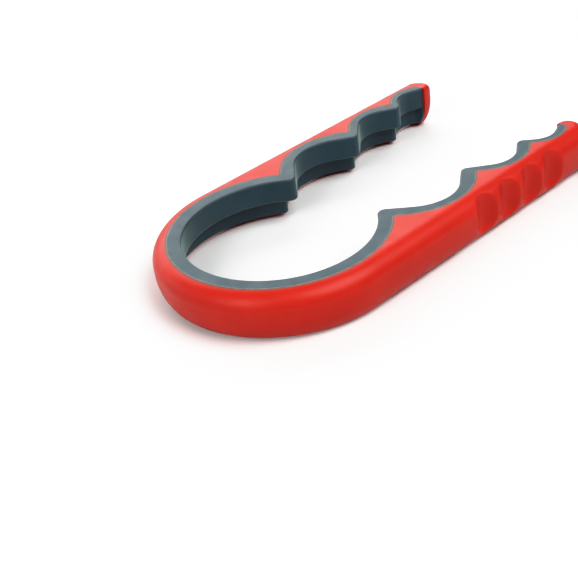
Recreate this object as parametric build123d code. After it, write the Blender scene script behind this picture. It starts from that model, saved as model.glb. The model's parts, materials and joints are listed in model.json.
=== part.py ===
from build123d import *
import os
from math import acos, atan2, cos, hypot, pi, radians, sin

# A one-piece springy jar opener: a red plastic U-frame whose closed end is a round bow, with a grey
# rubber liner moulded along its inner wall. The bow grips large lids, and three pairs of scallops
# between the arms grip smaller ones when the hand squeezes the arms together.
# The bow bends as a spring. Here it is cut at two round knuckles, one on each shoulder of the bow, so
# that each arm can swing about a pivot. The frame and the liner are cut there together.
# Millimetres, +Z up, +X from the bow towards the arms' free ends, +Y to the left arm.
# The outlines are drawn about the bow's centre, and the last step moves them to the part's origin,
# which is the middle of the footprint, on the underside.

# Driving dimensions
height = 24.0  # thickness of the frame, from the underside to the top face
half_width = 60.5  # bow's outer radius, and half the width across the arms
bow_outer_shift = 1.2  # the bow's outer circle lies this far towards the arms, so its apex is thinner
top_rounding = 8.4  # outer edge of the frame, top
under_reach = 7.0  # outer edge of the frame, bottom: a quarter ellipse, this far sideways
under_rise = 13.0  # and this far up
tip_radius = 8.5  # round end of each arm, seen from above
tip_straight = 1.5  # straight run between the liner's end and the arm's round end

lip_height = 11.8  # liner's thick upper band, which grips the lid
skirt_bottom = 2.6  # liner's lower edge above the underside
skirt_thickness = 1.2  # liner's thin lower band
liner_end_x = 152.3  # the liner stops here, where the arm's tip starts
end_web = 1.0  # closes the step under the upper band at the liner's end

lip_bow_radius = 45.0  # large-lid grip
wall_bow_radius = 52.2  # frame's inner wall behind the liner in the bow
frame_corner_radius = 1.6  # frame's own corners between two scallops

finger_hollows = 4  # on the outer side of each arm
first_hollow_x = 74.5
hollow_pitch = 17.0
hollow_depth = 4.0
hollow_radius = 8.5
hollow_ball_z = 8.5  # centre of each hollow's round lower end

knuckle_angle = 40.0  # from the bow's apex to each pivot, degrees
pivot_radius = 52.4  # distance of each pivot from the bow's centre
knuckle_radius = 7.1
knuckle_clearance = 0.2
relief_angle = 30.0  # the bow's horns beside the knuckle stop this far back, degrees
far_out = 250.0  # past every side of the tool
same_point = 0.001  # two ends nearer than this are one point

# The liner's inner outline, one side: circles in order from the bow to the arm's end. A hollow is a
# grip, and a tooth is the rounded point between two grips. Each entry is centre x, centre y, radius.
lip_rounds = [
    ("hollow", 0.0, 0.0, lip_bow_radius),
    ("tooth", 36.6, 32.4, 3.8),
    ("hollow", 64.2, 24.4, 22.0),
    ("tooth", 88.3, 38.3, 3.5),
    ("hollow", 109.2, 32.0, 15.0),
    ("tooth", 125.8, 42.9, 3.5),
    ("hollow", 140.3, 37.0, 11.4),
    ("tooth", liner_end_x, 48.1, 3.2),
]
# The frame's inner wall behind the liner: only its hollows, because its corners are worked out.
wall_hollows = [
    (0.0, 0.0, wall_bow_radius),
    (65.2, 17.1, 35.0),
    (110.5, 27.5, 24.5),
    (141.5, 35.8, 17.0),
]

tip_centre_y = half_width - tip_radius
front_x = liner_end_x + tip_straight + tip_radius
apex_x = bow_outer_shift - half_width
centre_x = (front_x + apex_x) / 2


def on_circle(x, y, radius, angle):
    return (x + radius * cos(angle), y + radius * sin(angle))


def tooth_between(first, second, radius):
    """Centre of the round corner that touches two neighbouring hollows from the frame's side."""
    (x1, y1, r1), (x2, y2, r2) = first, second
    span = hypot(x2 - x1, y2 - y1)
    near, far = r1 + radius, r2 + radius
    along = (near**2 - far**2 + span**2) / (2 * span)
    above = (near**2 - along**2) ** 0.5
    ux, uy = (x2 - x1) / span, (y2 - y1) / span
    return (x1 + along * ux - above * uy, y1 + along * uy + above * ux)


def wall_rounds(inset):
    """The frame's inner wall, or a line that lies inset further into the gap."""
    rounds = []
    for index, hollow in enumerate(wall_hollows):
        if index:
            corner = tooth_between(wall_hollows[index - 1], hollow, frame_corner_radius)
            rounds.append(("tooth", *corner, frame_corner_radius + inset))
        x, y, radius = hollow
        rounds.append(("hollow", x, y, radius - inset))
    return rounds


def side_edges(rounds):
    """Edges of one side's outline, from the bow's apex to the arm's end, with y above zero."""
    edges = []
    entry = pi
    for index, (kind, x, y, radius) in enumerate(rounds):
        turn = -1 if kind == "hollow" else 1
        last = index + 1 == len(rounds)
        if last:
            leave = acos((liner_end_x - x) / radius) * -turn
        else:
            next_x, next_y, next_radius = rounds[index + 1][1:]
            gap = hypot(next_x - x, next_y - y)
            tilt = acos(min(1.0, (radius + next_radius) / gap))
            leave = atan2(next_y - y, next_x - x) - turn * tilt
        sweep = turn * (leave - entry) % (2 * pi)
        leave = entry + turn * sweep
        start = on_circle(x, y, radius, entry)
        middle = on_circle(x, y, radius, (entry + leave) / 2)
        end = on_circle(x, y, radius, leave)
        edges.append(ThreePointArc(start, middle, end))
        if not last:
            entry = leave + pi
            landing = on_circle(next_x, next_y, next_radius, entry)
            if hypot(landing[0] - end[0], landing[1] - end[1]) > same_point:
                edges.append(Line(end, landing))
            else:
                entry = atan2(end[1] - next_y, end[0] - next_x)
    return edges, end


def gap_face(rounds):
    """The open space between both sides of an outline, closed across the arms' ends."""
    edges, end = side_edges(rounds)
    far_side = [mirror(edge, about=Plane.XZ) for edge in edges]
    closing = Line(end, (end[0], -end[1]))
    return make_face(Curve() + edges + far_side + [closing])


def edge_profile(width):
    """Half a cross-section with a rounded outer edge, in the plane x = 0."""
    top_corner = width - top_rounding
    bottom_corner = width - under_reach
    outline = Polyline((top_corner, height), (0, height), (0, 0), (bottom_corner, 0))
    bottom_arc = EllipticalCenterArc((bottom_corner, under_rise), under_reach, under_rise, -90, arc_size=90)
    side = Line((width, under_rise), (width, height - top_rounding))
    top_mid = on_circle(top_corner, height - top_rounding, top_rounding, pi / 4)
    top_arc = ThreePointArc((width, height - top_rounding), top_mid, (top_corner, height))
    return Plane.YZ * make_face(outline + bottom_arc + side + top_arc)


def arm_tip():
    """One arm's free end about its own centre: a short straight run and a round end."""
    profile = edge_profile(tip_radius)
    half_bar = extrude(profile, tip_straight, dir=(1, 0, 0))
    bar = half_bar + mirror(half_bar, about=Plane.XZ)
    return bar + Pos(tip_straight, 0, 0) * revolve(profile, Axis.Z, -180)


def frame_blank():
    """The frame before its inner wall is cut: half a disc, a slab and the two arm tips."""
    profile = edge_profile(half_width)
    disc = revolve(profile, Axis.Z, 180)
    slab_half = extrude(profile, liner_end_x - bow_outer_shift, dir=(1, 0, 0))
    slab = slab_half + mirror(slab_half, about=Plane.XZ)
    left_tip = Pos(liner_end_x, tip_centre_y, 0) * arm_tip()
    right_tip = Pos(liner_end_x, -tip_centre_y, 0) * arm_tip()
    return Pos(bow_outer_shift, 0, 0) * (disc + slab) + left_tip + right_tip


def finger_cutters():
    """Upright scoops that leave through the top rounding and have a round lower end."""
    shaft = Pos(0, 0, hollow_ball_z + height / 2) * Cylinder(hollow_radius, height)
    scoop = shaft + Sphere(hollow_radius).moved(Pos(0, 0, hollow_ball_z))
    cutters = []
    for index in range(finger_hollows):
        x = first_hollow_x + index * hollow_pitch
        for side in (1, -1):
            y = side * (half_width - hollow_depth + hollow_radius)
            cutters.append(Pos(x, y, 0) * scoop)
    return cutters


def make_frame():
    gap = extrude(gap_face(wall_rounds(0)), height)
    return frame_blank() - gap - finger_cutters()


def make_liner():
    wall = gap_face(wall_rounds(0))
    lip = wall - gap_face(lip_rounds)
    skirt = wall - gap_face(wall_rounds(skirt_thickness))
    end_strip = Pos(liner_end_x - end_web / 2, 0) * Rectangle(end_web, 2 * half_width)
    lower = skirt + (lip & end_strip)
    lip_bottom = height - lip_height
    upper_band = Pos(0, 0, lip_bottom) * extrude(lip, lip_height)
    lower_band = Pos(0, 0, skirt_bottom) * extrude(lower, lip_bottom - skirt_bottom)
    return upper_band + lower_band


def arm_region(side, knuckle):
    """Everything on an arm's side of its pivot, with the knuckle's round end. side is 1 or -1."""
    angle = radians(knuckle_angle)
    outward = Vector(-cos(angle), side * sin(angle))
    pivot = outward * pivot_radius
    ray_end = outward * far_out
    outer_y = side * far_out
    corners = [(0, 0), ray_end, (ray_end.X, outer_y), (far_out, outer_y), (far_out, 0)]
    plan = make_face(Polyline(*corners, close=True))
    plan += Pos(pivot) * Circle(knuckle)
    return extrude(plan, height, dir=(0, 0, 1))


def bow_clearance(side):
    """What the bow gives up on one side: the arm's region, and relief beside the knuckle."""
    angle = radians(knuckle_angle)
    outward = Vector(-cos(angle), side * sin(angle))
    towards_bow = Vector(-sin(angle), -side * cos(angle))
    pivot = outward * pivot_radius
    reach = 2 * knuckle_radius
    relief = radians(relief_angle)
    region = arm_region(side, knuckle_radius + knuckle_clearance)
    for way in (1, -1):
        straight = pivot + outward * (way * reach)
        swung = pivot + outward * (way * reach * cos(relief)) + towards_bow * (reach * sin(relief))
        notch = make_face(Polyline(pivot, straight, swung, close=True))
        region += extrude(notch, height, dir=(0, 0, 1))
    return region


def save(name, shape):
    placed = Pos(-centre_x, 0, 0) * shape
    export_step(placed, f"parts/{name}.step")
    print(f"{name}: {len(placed.solids())} solid, {placed.volume / 1000:.2f} cm3")


os.makedirs("parts", exist_ok=True)
bow_cut = bow_clearance(1) + bow_clearance(-1)
for moulding, whole in (("frame", make_frame()), ("liner", make_liner())):
    save(f"{moulding}_bow", whole - bow_cut)
    save(f"{moulding}_arm_left", whole & arm_region(1, knuckle_radius))
    save(f"{moulding}_arm_right", whole & arm_region(-1, knuckle_radius))
pivot_x = -pivot_radius * cos(radians(knuckle_angle)) - centre_x
pivot_y = pivot_radius * sin(radians(knuckle_angle))
print(f"centre_x {centre_x:.3f}, pivot ({pivot_x:.3f}, {pivot_y:.3f}), length {front_x - apex_x:.2f}")
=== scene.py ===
"""Looks of the jar opener: a springy red frame and the grey rubber liner moulded along its inner wall.

Each moulding is built as two mirrored halves that meet at the bow's apex.
Outlines are worked out in millimetres about the bow's centre and placed in the CAD frame in metres.
"""

import json
from collections import namedtuple
from math import acos, atan2, cos, hypot, pi, radians, sin, sqrt

import bmesh
import bpy
import numpy as np
from mathutils import Matrix, Vector


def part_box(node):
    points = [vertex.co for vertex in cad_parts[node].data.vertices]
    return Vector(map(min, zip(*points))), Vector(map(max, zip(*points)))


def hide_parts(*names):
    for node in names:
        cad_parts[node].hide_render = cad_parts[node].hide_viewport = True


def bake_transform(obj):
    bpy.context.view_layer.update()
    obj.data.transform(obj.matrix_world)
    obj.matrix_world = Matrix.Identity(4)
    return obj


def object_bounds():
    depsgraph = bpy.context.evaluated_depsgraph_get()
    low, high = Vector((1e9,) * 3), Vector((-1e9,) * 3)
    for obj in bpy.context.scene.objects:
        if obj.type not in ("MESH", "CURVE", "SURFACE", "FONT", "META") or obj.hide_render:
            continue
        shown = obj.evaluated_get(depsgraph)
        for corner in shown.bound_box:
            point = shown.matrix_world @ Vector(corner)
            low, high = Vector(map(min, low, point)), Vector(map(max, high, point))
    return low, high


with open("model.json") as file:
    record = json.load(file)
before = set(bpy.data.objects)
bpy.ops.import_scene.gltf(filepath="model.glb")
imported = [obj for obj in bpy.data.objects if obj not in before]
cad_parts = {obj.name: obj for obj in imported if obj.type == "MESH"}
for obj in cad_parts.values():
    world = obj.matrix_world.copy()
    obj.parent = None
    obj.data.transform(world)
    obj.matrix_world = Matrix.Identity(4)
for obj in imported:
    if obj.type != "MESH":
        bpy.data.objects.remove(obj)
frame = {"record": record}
cad_low, cad_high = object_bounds()

# ---------------------------------------------------------------- driving dimensions, millimetres
MM = 0.001
mounts = {mount["name"]: mount for mount in frame["record"]["mounts"]}
bow_centre_x = mounts["lid_grip"]["pos_m"][0]  # metres, in the CAD frame
lip_bow_radius = mounts["lid_grip"]["dims"]["r_mm"]
lip_height = mounts["lid_grip"]["dims"]["length_mm"]
height = (cad_high.z - cad_low.z) / MM
half_width = (cad_high.y - cad_low.y) / 2 / MM
liner_end_x = (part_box("liner_arm_left")[1].x - bow_centre_x) / MM
tip_straight = 1.5  # straight run between the liner's end and the arm's round end
tip_radius = (cad_high.x - bow_centre_x) / MM - liner_end_x - tip_straight
tip_centre_y = half_width - tip_radius
skirt_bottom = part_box("liner_bow")[0].z / MM
skirt_thickness = 1.2
end_web = 1.0  # closes the step under the lip at the liner's end
end_web_round = 1.5
end_web_fill = 0.97  # share of the step that the web fills, so that no face folds flat

bow_outer_shift = 1.2  # the bow's outer circle lies this far towards the arms, so its apex is thinner
top_rounding = 8.4  # outer edge of the frame, top
under_reach = 7.0  # outer edge of the frame, bottom: a quarter ellipse, this far sideways
under_rise = 13.0  # and this far up
tip_inner_top = 1.6  # the tip's top edge beside the liner
tip_under_reach = 8.4  # the tip's bottom edge beside the liner
tip_under_rise = 17.0
tip_sharpens_from = 0.375  # share of the way round the tip where its top edge starts to sharpen
wall_bow_radius = 52.2
frame_corner_radius = 1.6
seam_top_round = 0.15  # where the red meets the grey on top
inner_bottom_rise = 2.6  # the frame's underside slopes up towards the liner's lower edge
inner_bottom_run = 4.0
split_gap = 0.05  # the outer edge's cross-section starts this far past that slope
liner_top_round = 0.9
liner_bottom_round = 1.0
liner_root_round = 0.5
lip_edge_highlight = 0.1  # share of the border's painted highlight that the lip's top edge shows
skirt_round = 0.4
bond_gap = 0.02  # keeps the two mouldings' touching faces apart
seam_highlight_width = 0.9  # width of the painted highlight, a paler border on the liner along the seam on top
seam_highlight_start = 0.9  # share of the painted highlight that the border shows beside the seam's rounding
red_seam_shade = ((0.4, 0.75), (0.9, 0.4), (1.6, 0.0))  # painted shade, a dull greyer border on the red beside the seam: distance from the seam, share

finger_hollows = 4
first_hollow_x = 74.5
hollow_pitch = 17.0
hollow_depth = 4.0
hollow_radius = 8.5
hollow_ball_z = 8.5  # centre of each hollow's round lower end
hollow_edge_round = 1.2

bow_steps = 56
tip_steps = 40
outer_steps = 60
run_steps = 6  # level stretches between the frame's wall and its rounded edge
top_run_steps = run_steps + len(red_seam_shade)
arm_samples = 4000  # places along an arm where the spacing of its cross-sections is worked out
coarse_step = 0.45  # spacing of the cross-sections along an arm
fine_step = 0.25  # and beside a tooth
tooth_reach = 4.5
sharp_angle = 40.0  # degrees; edges that turn more than this are shaded sharp

Round = namedtuple("Round", "turn x y radius")
HOLLOW = -1
TOOTH = 1

# The liner's inner outline, one side: circles in order from the bow to the arm's end.
lip_rounds = [
    Round(HOLLOW, 0.0, 0.0, lip_bow_radius),
    Round(TOOTH, 36.6, 32.4, 3.8),
    Round(HOLLOW, 64.2, 24.4, 22.0),
    Round(TOOTH, 88.3, 38.3, 3.5),
    Round(HOLLOW, 109.2, 32.0, 15.0),
    Round(TOOTH, 125.8, 42.9, 3.5),
    Round(HOLLOW, 140.3, 37.0, 11.4),
    Round(TOOTH, liner_end_x, 48.1, 3.2),
]
# The frame's inner wall behind the liner: only its hollows, because its corners are worked out.
wall_hollows = [
    (0.0, 0.0, wall_bow_radius),
    (65.2, 17.1, 35.0),
    (110.5, 27.5, 24.5),
    (141.5, 35.8, 17.0),
]


# ---------------------------------------------------------------- outlines
def tooth_between(first, second, radius):
    """Centre of the round corner that touches two neighbouring hollows from the frame's side."""
    (x1, y1, r1), (x2, y2, r2) = first, second
    span = hypot(x2 - x1, y2 - y1)
    near, far = r1 + radius, r2 + radius
    along = (near**2 - far**2 + span**2) / (2 * span)
    above = sqrt(near**2 - along**2)
    ux, uy = (x2 - x1) / span, (y2 - y1) / span
    return (x1 + along * ux - above * uy, y1 + along * uy + above * ux)


def make_wall_rounds():
    rounds = [Round(HOLLOW, *wall_hollows[0])]
    for before, hollow in zip(wall_hollows, wall_hollows[1:]):
        corner = tooth_between(before, hollow, frame_corner_radius)
        rounds.append(Round(TOOTH, *corner, frame_corner_radius))
        rounds.append(Round(HOLLOW, *hollow))
    return rounds


def outline_y(rounds, x, offset=0.0):
    """Where an outline crosses x on the left side. A positive offset moves it away from the gap."""
    for here, after in zip(rounds, rounds[1:] + [None]):
        radius = here.radius - here.turn * offset
        if after is None:
            break
        dx, dy = after.x - here.x, after.y - here.y
        tilt = acos(min(1.0, (here.radius + after.radius) / hypot(dx, dy)))
        leave = atan2(dy, dx) - here.turn * tilt
        leave_x = here.x + radius * cos(leave)
        if x <= leave_x:
            break
        landing_radius = after.radius - after.turn * offset
        landing_x = after.x - landing_radius * cos(leave)
        if x < landing_x:
            leave_y = here.y + radius * sin(leave)
            landing_y = after.y - landing_radius * sin(leave)
            share = (x - leave_x) / (landing_x - leave_x)
            return leave_y + share * (landing_y - leave_y)
    return here.y - here.turn * sqrt(max(0.0, radius**2 - (x - here.x) ** 2))


wall_rounds = make_wall_rounds()


# ---------------------------------------------------------------- cross-sections
# A station is (x, across_x, across_y): the cross-section starts at (x, 0) and runs in that direction.
def arm_places():
    """Cross-section places along an arm, closer together beside each tooth."""
    grid = np.linspace(0.0, liner_end_x, arm_samples)
    teeth = [r.x for r in lip_rounds + wall_rounds if r.turn == TOOTH]
    nearest = np.min([abs(grid - x) for x in teeth], axis=0)
    density = np.where(nearest < tooth_reach, 1 / fine_step, 1 / coarse_step)
    total = np.cumsum(density)
    total = (total - total[0]) / (total[-1] - total[0])
    count = int(liner_end_x * density.mean())
    return [float(x) for x in np.interp(np.linspace(0, 1, count + 1), total, grid)]


def make_stations():
    angles = np.linspace(pi, pi / 2, bow_steps + 1)[:-1]
    bow = [(0.0, cos(angle), sin(angle)) for angle in angles]
    return bow + [(x, 0.0, 1.0) for x in arm_places()]


def placed(station, across, z):
    x, across_x, across_y = station
    return (x + across * across_x, across * across_y, z)


def along(path, shares):
    """Points at the given shares of a path's length."""
    path = np.array(path)
    steps = np.hypot(*np.diff(path, axis=0).T)
    length = np.concatenate([[0.0], np.cumsum(steps)])
    at = np.array(shares) * length[-1]
    return [(float(a), float(b)) for a, b in zip(*(np.interp(at, length, c) for c in path.T))]


def rounded_edge(start, side, reach, rise, arc_steps=30):
    """A level run from start and a quarter ellipse down to side, as (distance, drop) pairs."""
    corner = side - reach
    points = [(start, 0.0)] if start < corner else []
    first = acos(max(0.0, (start - corner) / reach))
    for step in range(arc_steps + 1):
        angle = first * (1 - step / arc_steps)
        points.append((corner + reach * cos(angle), rise * (1 - sin(angle))))
    return points


def edge_path(start, side, top_radius, reach, rise):
    """The outer edge in cross-section: from the top at start, round by way of side, to the underside."""
    top = [(across, height - drop) for across, drop in rounded_edge(start, side, top_radius, top_radius)]
    bottom = rounded_edge(start, side, reach, rise)
    return top + bottom[::-1]


def edge_drop(across, side, reach, rise):
    """How far a rounded outer edge lies from the flat face that it starts from."""
    past = max(0.0, across - (side - reach)) / reach
    return rise * (1 - sqrt(1 - past**2))


def quarter(radius, steps=4):
    """(sideways, downwards) pairs round a quarter turn, from a wall to a flat face."""
    angles = [pi / 2 * step / steps for step in range(steps + 1)]
    return [(radius * (1 - cos(angle)), radius * (1 - sin(angle))) for angle in angles]


def hollow_limit(x, z):
    """Where the finger hollows cut the arm's outer side: upright round scoops with a ball end."""
    radius = sqrt(max(0.0, hollow_radius**2 - max(0.0, hollow_ball_z - z) ** 2))
    limit = half_width + hollow_radius
    for index in range(finger_hollows):
        sideways = abs(x - first_hollow_x - index * hollow_pitch)
        if sideways < radius:
            limit = min(limit, half_width - hollow_depth + hollow_radius - sqrt(radius**2 - sideways**2))
    return limit


def softer_min(first, second, width):
    """The lesser of two numbers, rounded off where they cross."""
    share = max(0.0, width - abs(first - second)) / width
    return min(first, second) - share**2 * width / 4


def with_hollows(points, x):
    return [(softer_min(across, hollow_limit(x, z), hollow_edge_round), z) for across, z in points]


# ---------------------------------------------------------------- the two mouldings' rings
even_shares = [step / outer_steps for step in range(outer_steps + 1)]


def split_distance(x):
    """Where the frame's outer and inner halves of the cross-section meet."""
    return max(tip_centre_y, outline_y(wall_rounds, x) + inner_bottom_run + split_gap)


def outer_distance(station):
    """How far the frame's outer side lies from the start of a cross-section."""
    x, across_x, across_y = station
    if x > 0:
        return half_width
    return bow_outer_shift * across_x + sqrt(half_width**2 - (bow_outer_shift * across_y) ** 2)


def frame_ring(station):
    """The frame's cross-section, once round from the top's middle, as (point, share of painted shade)."""
    x = station[0]
    start = split_distance(x)
    side = outer_distance(station)
    path = edge_path(start, side, top_rounding, under_reach, under_rise)
    outer = with_hollows(along(path, even_shares), x)
    bottom_edge = []
    for share in (1.0, 0.85, 0.7, 0.55, 0.4, 0.25, 0.1, 0.0):
        across = outline_y(wall_rounds, x) + share * inner_bottom_run
        rise = inner_bottom_rise * (1 - share)
        bottom_edge.append((across, rise + edge_drop(across, side, under_reach, under_rise)))
    top_edge = []
    for offset, drop in quarter(seam_top_round):
        across = outline_y(wall_rounds, x, offset)
        top_edge.append((across, height - drop - edge_drop(across, side, top_rounding, top_rounding)))
    border = []
    for offset, _ in red_seam_shade:
        across = outline_y(wall_rounds, x, offset)
        border.append((across, height - edge_drop(across, side, top_rounding, top_rounding)))
    bottom_run = []
    top_run = []
    for step in range(1, run_steps):
        share = step / run_steps
        across = start + share * (bottom_edge[0][0] - start)
        bottom_run.append((across, edge_drop(across, side, under_reach, under_rise)))
        across = border[-1][0] + share * (start - border[-1][0])
        top_run.append((across, height - edge_drop(across, side, top_rounding, top_rounding)))
    low, high = bottom_edge[-1], top_edge[0]
    wall = []
    for share in (0.02, 0.2, 0.4, 0.6, 0.8, 0.98):
        wall.append((low[0], low[1] + share * (high[1] - low[1])))
    unshaded = outer + bottom_run + bottom_edge + wall
    ring = unshaded + top_edge + border + top_run
    # The seam's rounding and the red's border beside it carry painted shade; the rest has none.
    painted_shading = [0.0] * len(unshaded) + [1.0] * len(top_edge) + [share for _, share in red_seam_shade]
    painted_shading += [0.0] * len(top_run)
    return [(placed(station, across, z), share) for (across, z), share in zip(ring, painted_shading)]


def closed_share(x):
    """How far the liner's end web has filled the step under the lip at x: 0 is open, 1 is filled."""
    past = x - (liner_end_x - end_web - end_web_round)
    if past <= 0:
        return 0.0
    if past < end_web_round:
        return 1 - sqrt(1 - (past / end_web_round) ** 2)
    return end_web_fill


def tip_edge_y(z):
    """The arm tip's inner edge at height z, beside the liner's end."""
    low = max(0.0, 1 - z / tip_under_rise)
    return tip_centre_y - (tip_radius - tip_under_reach) - tip_under_reach * sqrt(1 - low**2)


def liner_ring(station):
    """The liner's cross-section, once round, as (point, share of painted highlight)."""
    x = station[0]
    ledge = height - lip_height
    beside = 0.2  # keeps a flat face flat next to its rounded edge
    closed = closed_share(x)
    lip_y = outline_y(lip_rounds, x)
    skirt_y = outline_y(wall_rounds, x, -skirt_thickness)
    room = (1 - closed) * (skirt_y - lip_y)
    size = min(1.0, room / (liner_bottom_round + liner_root_round + 2 * beside))

    def lip(sideways):
        return outline_y(lip_rounds, x, sideways)

    def wall(sideways):
        return outline_y(wall_rounds, x, -bond_gap - sideways)

    def skirt(sideways, z):
        """The skirt's face, moved towards the lip where the end web fills the step."""
        shift = closed * max(0.0, skirt_y - max(lip_y, tip_edge_y(z)))
        return outline_y(wall_rounds, x, -skirt_thickness - sideways) - shift

    # The seam's rounding, the border beside it and the lip's top edge carry painted highlight.
    ring = [(wall(sideways), height - drop, 1.0) for sideways, drop in quarter(seam_top_round)]
    ring.append((wall(seam_top_round + beside), height, seam_highlight_start))
    ring.append((wall(seam_highlight_width), height, 0.0))
    ring.append((lip(liner_top_round + beside), height, 0.0))
    for sideways, drop in quarter(liner_top_round, 6)[::-1]:
        ring.append((lip(sideways), height - drop, lip_edge_highlight))
    top, bottom = height - liner_top_round, ledge + size * liner_bottom_round
    for share in (0.06, 0.25, 0.5, 0.75, 0.97):
        ring.append((lip(0.0), top + share * (bottom - top), 0.0))
    for sideways, rise in quarter(size * liner_bottom_round, 6):
        ring.append((lip(sideways), ledge + rise, 0.0))
    ring.append((lip(size * (liner_bottom_round + beside)), ledge, 0.0))
    ring.append((skirt(size * (liner_root_round + beside), ledge), ledge, 0.0))
    for sideways, drop in quarter(size * liner_root_round)[::-1]:
        ring.append((skirt(sideways, ledge - drop), ledge - drop, 0.0))
    top, bottom = ledge - size * liner_root_round, skirt_bottom + skirt_round
    for share in (0.03, 0.2, 0.35, 0.5, 0.65, 0.8, 0.97):
        z = top + share * (bottom - top)
        ring.append((skirt(0.0, z), z, 0.0))
    for sideways, rise in quarter(skirt_round):
        ring.append((skirt(-sideways, bottom), skirt_bottom + rise, 0.0))
    ring.append((wall(0.0), skirt_bottom, 0.0))
    ring.append((wall(0.0), height / 2, 0.0))
    return [(placed(station, across, z), painted_shading) for across, z, painted_shading in ring]


# ---------------------------------------------------------------- meshes
def lofted(rings):
    """Points and side faces of a closed tube over rings of equal length."""
    points = [point for ring in rings for point in ring]
    size = len(rings[0])
    faces = []
    for ring in range(len(rings) - 1):
        for k in range(size):
            here, beside = ring * size + k, ring * size + (k + 1) % size
            faces.append((here, beside, beside + size, here + size))
    return points, faces


def add_arm_tip(points, faces, last_ring):
    """Turns the outer edge round the arm's tip and closes the end wall that the liner stops against."""
    size = len(last_ring)
    base = len(points) - size
    inner_run = [tip_centre_y - last_ring[-k][1] for k in range(1, top_run_steps + 1)]
    under_run = [tip_centre_y - last_ring[outer_steps + k][1] for k in range(1, run_steps + 1)]
    path = np.array(edge_path(0.0, tip_radius, tip_inner_top, tip_under_reach, tip_under_rise))
    length = float(np.hypot(*np.diff(path, axis=0).T).sum())
    top_shares = [0.0] + [run / length for run in inner_run]
    under_shares = [1 - run / length for run in under_run[::-1]] + [1.0]
    middle = np.linspace(top_shares[-1], under_shares[0], outer_steps + 1 - run_steps - top_run_steps)
    inner_shares = np.concatenate([top_shares, middle[1:-1], under_shares])
    turns = [(tip_straight, step / tip_steps) for step in range(tip_steps + 1)] + [(0.0, 1.0)]
    profiles = [[base + k for k in range(outer_steps + 1)]]
    for ahead, turned in turns:
        late = max(0.0, (turned - tip_sharpens_from) / (1 - tip_sharpens_from))
        blend = late * late * (3 - 2 * late)
        top_radius = top_rounding + blend * (tip_inner_top - top_rounding)
        reach = under_reach + turned * (tip_under_reach - under_reach)
        rise = under_rise + turned * (tip_under_rise - under_rise)
        shares = np.array(even_shares) * (1 - turned) + inner_shares * turned
        section = along(edge_path(0.0, tip_radius, top_radius, reach, rise), shares)
        angle = pi / 2 - pi * turned
        profile = [base]
        for k in range(1, outer_steps):
            if ahead == 0 and k <= top_run_steps:
                profile.append(base + size - k)
            elif ahead == 0 and k >= outer_steps - run_steps:
                profile.append(base + 2 * outer_steps - k)
            else:
                across, z = section[k]
                x = liner_end_x + ahead + across * cos(angle)
                profile.append(len(points))
                points.append((x, tip_centre_y + across * sin(angle), z))
        profiles.append(profile + [base + outer_steps])
    for before, after in zip(profiles, profiles[1:]):
        for k in range(outer_steps):
            face = [before[k], before[k + 1], after[k + 1], after[k]]
            faces.append(list(dict.fromkeys(face)))
    rim = profiles[-1][top_run_steps : outer_steps - run_steps + 1]
    pocket = [base + k for k in range(outer_steps + run_steps + 1, size - top_run_steps)]
    faces.append(rim + pocket)


def seam_normals(mesh, seam_count):
    """Turns the normals at the bow's apex square to the joint line, so that it doesn't show."""
    normals = [corner.vector.copy() for corner in mesh.corner_normals]
    for face in mesh.polygons:
        if all(index < seam_count for index in face.vertices):
            continue
        for corner in face.loop_indices:
            if mesh.loops[corner].vertex_index < seam_count:
                normals[corner].y = 0.0
                normals[corner].normalize()
    mesh.normals_split_custom_set(normals)


def make_half(name, side, points, faces, seam_count, material):
    """A mesh object from millimetre points about the bow's centre. side is 1 for left, -1 for right."""
    mesh = bpy.data.meshes.new(name)
    in_frame = [(x * MM + bow_centre_x, side * y * MM, z * MM) for x, y, z in points]
    mesh.from_pydata(in_frame, [], faces)
    work = bmesh.new()
    work.from_mesh(mesh)
    bmesh.ops.recalc_face_normals(work, faces=work.faces)
    work.to_mesh(mesh)
    work.free()
    mesh.shade_smooth()
    mesh.set_sharp_from_angle(angle=radians(sharp_angle))
    seam_normals(mesh, seam_count)
    mesh.materials.append(material)
    piece = bpy.data.objects.new(name, mesh)
    bpy.context.scene.collection.objects.link(piece)
    return piece


def write_painted_shading(piece, rings):
    """Stores each ring point's share of painted highlight or painted shade on the mesh. Points past the
    rings have none.
    """
    painted_shading = [share for ring in rings for _, share in ring]
    painted_shading += [0.0] * (len(piece.data.vertices) - len(painted_shading))
    piece.data.attributes.new("seam_highlight_and_shade", "FLOAT", "POINT").data.foreach_set("value", painted_shading)


def make_frame_half(name, side, material):
    rings = [frame_ring(station) for station in stations]
    bare_rings = [[point for point, _ in ring] for ring in rings]
    points, faces = lofted(bare_rings)
    size = len(rings[0])
    faces.append(list(range(size)))
    add_arm_tip(points, faces, bare_rings[-1])
    piece = make_half(name, side, points, faces, size, material)
    write_painted_shading(piece, rings)
    return piece


def make_liner_half(name, side, material):
    rings = [liner_ring(station) for station in stations]
    points, faces = lofted([[point for point, _ in ring] for ring in rings])
    size = len(rings[0])
    faces.append(list(range(size)))
    faces.append(list(range(len(points) - size, len(points))))
    piece = make_half(name, side, points, faces, size, material)
    write_painted_shading(piece, rings)
    return piece


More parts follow.
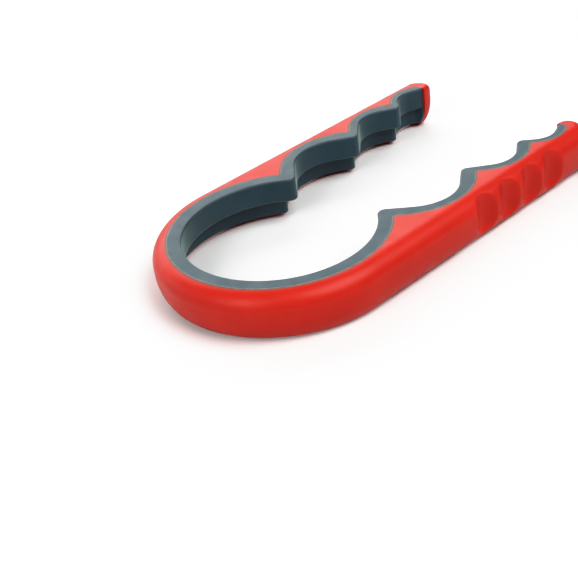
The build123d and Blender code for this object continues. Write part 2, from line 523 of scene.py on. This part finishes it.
# ---------------------------------------------------------------- materials
class Shader:
    """A small helper that adds nodes to a new material and links them."""

    def __init__(self, name):
        self.material = bpy.data.materials.new(name)
        self.material.use_nodes = True
        self.tree = self.material.node_tree
        self.bsdf = self.tree.nodes["Principled BSDF"]
        self.place = self.add("ShaderNodeTexCoord").outputs["Object"]

    def add(self, kind, **values):
        node = self.tree.nodes.new(kind)
        for key, value in values.items():
            setattr(node, key, value)
        return node

    def link(self, output, target):
        self.tree.links.new(output, target)

    def noise(self, per_metre, detail=2.0):
        node = self.add("ShaderNodeTexNoise")
        node.inputs["Scale"].default_value = per_metre
        node.inputs["Detail"].default_value = detail
        self.link(self.place, node.inputs["Vector"])
        return node.outputs["Fac"]

    def spread(self, value, low, high, source_low=0.3, source_high=0.7):
        """Maps a value from its source range to a new one. The source range suits a noise."""
        node = self.add("ShaderNodeMapRange")
        node.inputs["From Min"].default_value = source_low
        node.inputs["From Max"].default_value = source_high
        node.inputs["To Min"].default_value = low
        node.inputs["To Max"].default_value = high
        self.link(value, node.inputs["Value"])
        return node.outputs["Result"]

    def colours(self, value, first, second):
        """A blend between two colours, driven by a noise value."""
        node = self.add("ShaderNodeValToRGB")
        node.color_ramp.elements[0].position = 0.3
        node.color_ramp.elements[0].color = (*first, 1.0)
        node.color_ramp.elements[1].position = 0.7
        node.color_ramp.elements[1].color = (*second, 1.0)
        self.link(value, node.inputs["Fac"])
        return node.outputs["Color"]

    def attribute(self, name):
        return self.add("ShaderNodeAttribute", attribute_name=name).outputs["Fac"]

    def product(self, first, second):
        node = self.add("ShaderNodeMath", operation="MULTIPLY")
        self.link(first, node.inputs[0])
        self.link(second, node.inputs[1])
        return node.outputs["Value"]

    def mixed(self, share, colour, other):
        """Blends a colour output towards a fixed colour by a share."""
        node = self.add("ShaderNodeMix", data_type="RGBA")
        factor, first, second = (node.inputs[index] for index in (0, 6, 7))
        self.link(share, factor)
        self.link(colour, first)
        second.default_value = (*other, 1.0)
        return node.outputs[2]

    def bump(self, value, distance, normal=None):
        node = self.add("ShaderNodeBump")
        node.inputs["Strength"].default_value = 1.0
        node.inputs["Distance"].default_value = distance
        self.link(value, node.inputs["Height"])
        if normal is not None:
            self.link(normal, node.inputs["Normal"])
        return node.outputs["Normal"]


def red_plastic():
    """Satin moulded polypropylene: faint flow marks, a fine orange peel and painted shade along the seam,
    a dull greyer border.
    """
    shader = Shader("red_plastic")
    bsdf = shader.bsdf
    flow = shader.noise(45.0, detail=3.0)
    colour = shader.colours(flow, (0.42, 0.020, 0.009), (0.46, 0.025, 0.012))
    # painted shade: the seam's border is mixed towards a dull greyish red, in patches
    patches = shader.spread(shader.noise(400.0), 0.6, 1.0)
    painted_seam = shader.product(shader.attribute("seam_highlight_and_shade"), patches)
    shader.link(shader.mixed(painted_seam, colour, (0.20, 0.07, 0.05)), bsdf.inputs["Base Color"])
    shader.link(shader.spread(shader.noise(130.0, detail=4.0), 0.38, 0.46), bsdf.inputs["Roughness"])
    peel = shader.bump(shader.noise(700.0), 0.00003)
    grain = shader.bump(shader.noise(6000.0, detail=1.0), 0.000004, peel)
    shader.link(grain, bsdf.inputs["Normal"])
    bsdf.inputs["IOR"].default_value = 1.49
    bsdf.inputs["Specular IOR Level"].default_value = 0.3
    return shader.material


def grey_rubber():
    """Matte thermoplastic rubber: a fine eroded grain, a soft sheen that pales its level faces, and a
    painted highlight along the seam.
    """
    shader = Shader("grey_rubber")
    bsdf = shader.bsdf
    cloud = shader.noise(60.0, detail=3.0)
    colour = shader.colours(cloud, (0.008, 0.034, 0.050), (0.012, 0.040, 0.058))
    # painted highlight: the seam's border and the lip's top edge are mixed towards a pale pinkish grey,
    # in patches
    patches = shader.spread(shader.noise(400.0), 0.35, 1.0)
    painted_seam = shader.product(shader.attribute("seam_highlight_and_shade"), patches)
    shader.link(shader.mixed(painted_seam, colour, (0.20, 0.13, 0.115)), bsdf.inputs["Base Color"])
    shader.link(shader.spread(shader.noise(160.0, detail=4.0), 0.50, 0.60), bsdf.inputs["Roughness"])
    grain = shader.bump(shader.noise(3500.0), 0.000016)
    shader.link(grain, bsdf.inputs["Normal"])
    bsdf.inputs["IOR"].default_value = 1.52
    bsdf.inputs["Specular IOR Level"].default_value = 0.65
    bsdf.inputs["Sheen Weight"].default_value = 0.4
    bsdf.inputs["Sheen Roughness"].default_value = 0.4
    bsdf.inputs["Sheen Tint"].default_value = (0.80, 1.0, 0.88, 1.0)
    return shader.material


def floor_paint():
    """Pale paint with a glow far from the object, so that the floor stays bright up to the horizon."""
    shader = Shader("floor_paint")
    distance = shader.add("ShaderNodeVectorMath", operation="LENGTH")
    shader.link(shader.place, distance.inputs[0])
    glow = shader.spread(distance.outputs["Value"], 0.0, 0.85, source_low=0.9, source_high=2.2)
    shader.link(glow, shader.bsdf.inputs["Emission Strength"])
    shader.bsdf.inputs["Emission Color"].default_value = (1.0, 1.0, 1.0, 1.0)
    shade = shader.colours(shader.noise(3.0), (0.69, 0.69, 0.685), (0.71, 0.71, 0.705))
    shader.link(shade, shader.bsdf.inputs["Base Color"])
    shader.bsdf.inputs["Roughness"].default_value = 0.85
    return shader.material


# ---------------------------------------------------------------- the object
stations = make_stations()
mouldings = (
    ("frame", "red_frame", red_plastic(), make_frame_half),
    ("liner", "grey_liner", grey_rubber(), make_liner_half),
)
for moulding, slot_name, material, make in mouldings:
    for hand, side in (("left", 1), ("right", -1)):
        piece = make(f"{slot_name}_{hand}", side, material)
        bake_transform(piece)
        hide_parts(f"{moulding}_bow", f"{moulding}_arm_{hand}")


# ---------------------------------------------------------------- floor, light and camera
def area_light(name, place, size, watts):
    """A white area light that shines at the object, from a place in metres."""
    lamp = bpy.data.lights.new(name, "AREA")
    lamp.shape = "RECTANGLE"
    lamp.size, lamp.size_y = size
    lamp.energy = watts
    holder = bpy.data.objects.new(name, lamp)
    holder.location = place
    holder.rotation_euler = (-Vector(place)).to_track_quat("-Z", "Y").to_euler()
    bpy.context.scene.collection.objects.link(holder)


def make_floor():
    mesh = bpy.data.meshes.new("floor")
    reach = 6.0
    corners = [(-reach, -reach, 0), (reach, -reach, 0), (reach, reach, 0), (-reach, reach, 0)]
    mesh.from_pydata(corners, [], [(0, 1, 2, 3)])
    mesh.materials.append(floor_paint())
    floor = bpy.data.objects.new("floor", mesh)
    bpy.context.scene.collection.objects.link(floor)


def make_world():
    """Dim even light, with a pale sky where a view looks past the floor."""
    world = bpy.data.worlds.new("studio")
    world.use_nodes = True
    nodes, links = world.node_tree.nodes, world.node_tree.links
    background = nodes["Background"]
    background.inputs["Color"].default_value = (1.0, 1.0, 1.0, 1.0)
    strength = nodes.new("ShaderNodeMapRange")
    strength.inputs["To Min"].default_value = 0.15
    strength.inputs["To Max"].default_value = 0.9
    links.new(nodes.new("ShaderNodeLightPath").outputs["Is Camera Ray"], strength.inputs["Value"])
    links.new(strength.outputs["Result"], background.inputs["Strength"])
    bpy.context.scene.world = world


def make_camera():
    """The camera of the reference view, placed in the CAD frame."""
    location = Vector((-0.33766, -0.35207, 0.27556))
    right = Vector((0.71564, -0.68658, -0.12835))
    up = Vector((0.44998, 0.31265, 0.83652))
    back = right.cross(up)
    turn = Matrix((right, up, back)).transposed()
    lens = bpy.data.cameras.new("camera")
    lens.lens = 70.95
    lens.sensor_width = 36.0
    camera = bpy.data.objects.new("camera", lens)
    camera.matrix_world = Matrix.Translation(location) @ turn.to_4x4()
    bpy.context.scene.collection.objects.link(camera)
    bpy.context.scene.camera = camera


make_floor()
make_world()
make_camera()
area_light("back_softbox", (0.56, 1.24, 0.86), (2.0, 1.3), 22)
area_light("top_key", (0.20, -0.72, 1.05), (1.1, 0.8), 17)
area_light("left_rim", (-1.00, -0.10, 0.70), (0.6, 0.8), 6.5)
area_light("low_back", (-0.80, 1.40, 0.40), (1.4, 0.6), 5)


def camera_response():
    """A photograph's response: pure white stays white, and the darker tones are deepened."""
    settings = bpy.context.scene.view_settings
    settings.view_transform = "Standard"
    settings.use_curve_mapping = True
    curve = settings.curve_mapping.curves[3]
    for place, value in ((0.06, 0.035), (0.25, 0.24), (0.5, 0.56), (0.75, 0.92)):
        curve.points.new(place, value)
    settings.curve_mapping.update()


camera_response()
